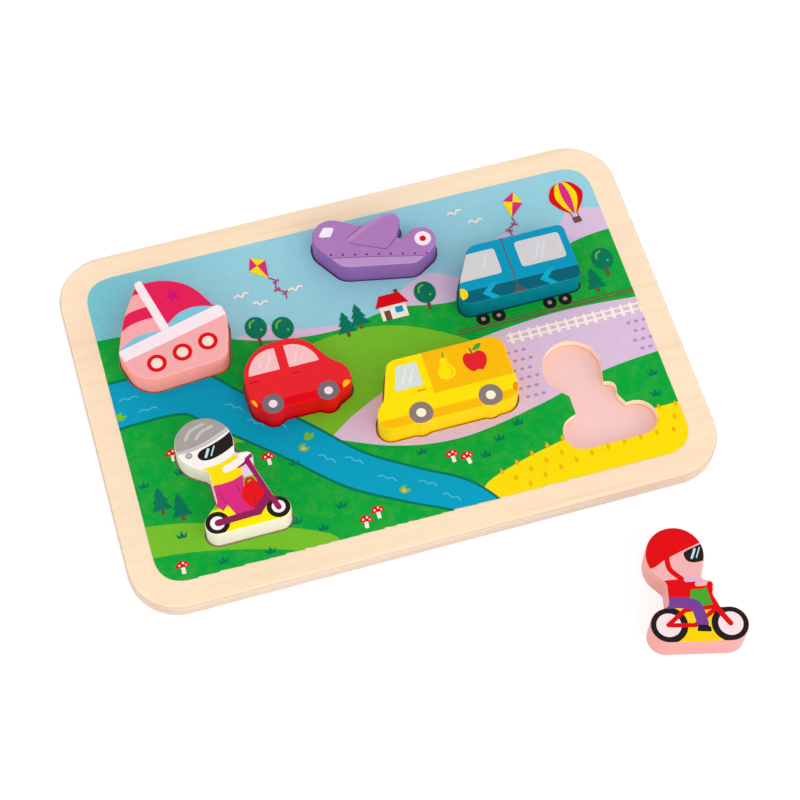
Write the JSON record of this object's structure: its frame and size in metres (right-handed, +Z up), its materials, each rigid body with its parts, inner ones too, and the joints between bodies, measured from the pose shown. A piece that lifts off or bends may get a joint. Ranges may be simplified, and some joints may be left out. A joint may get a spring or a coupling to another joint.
{
  "type": "chunky puzzle",
  "caption": "Rounded two-layer wooden board whose cut-out recesses hold thick lift-out vehicle and rider pieces, with a bicycle rider piece lying loose in front of it.",
  "frame": {"origin": "middle of the board's underside, on the table", "axes": "+X along the board's long side, +Y away from the loose piece, +Z up out of the picture"},
  "size_m": [0.26, 0.2544, 0.019],
  "materials": {
    "board_wood": "sanded pale wood, clear matt",
    "pink_paint": "satin pink paint on wood",
    "purple_paint": "satin purple paint on wood",
    "teal_paint": "satin teal paint on wood",
    "red_paint": "satin red paint on wood",
    "yellow_paint": "satin yellow paint on wood",
    "white_paint": "satin off-white paint on wood",
    "picture_ink": "thin satin screen-printed colours on wood"
  },
  "bodies": {
    "board": {"base_panel": "board_wood", "picture_panel": "board_wood"},
    "boat": {"boat_piece": "pink_paint"},
    "aeroplane": {"aeroplane_piece": "purple_paint"},
    "train": {"train_piece": "teal_paint"},
    "car": {"car_piece": "red_paint"},
    "van": {"van_piece": "yellow_paint"},
    "scooter_rider": {"scooter_rider_piece": "white_paint"},
    "bicycle_rider": {"bicycle_rider_piece": "pink_paint"}
  },
  "joints": [
    {"name": "boat_lift", "type": "slide", "parent": "board", "child": "boat", "axis": [0, 0, 1], "range_m": [0, 0.03]},
    {"name": "aeroplane_lift", "type": "slide", "parent": "board", "child": "aeroplane", "axis": [0, 0, 1], "range_m": [0, 0.03]},
    {"name": "train_lift", "type": "slide", "parent": "board", "child": "train", "axis": [0, 0, 1], "range_m": [0, 0.03]},
    {"name": "car_lift", "type": "slide", "parent": "board", "child": "car", "axis": [0, 0, 1], "range_m": [0, 0.03]},
    {"name": "van_lift", "type": "slide", "parent": "board", "child": "van", "axis": [0, 0, 1], "range_m": [0, 0.03]},
    {"name": "scooter_rider_lift", "type": "slide", "parent": "board", "child": "scooter_rider", "axis": [0, 0, 1], "range_m": [0, 0.03]},
    {"name": "bicycle_rider_lift", "type": "slide", "parent": "board", "child": "bicycle_rider", "axis": [0, 0, 1], "range_m": [0, 0.03]}
  ]
}
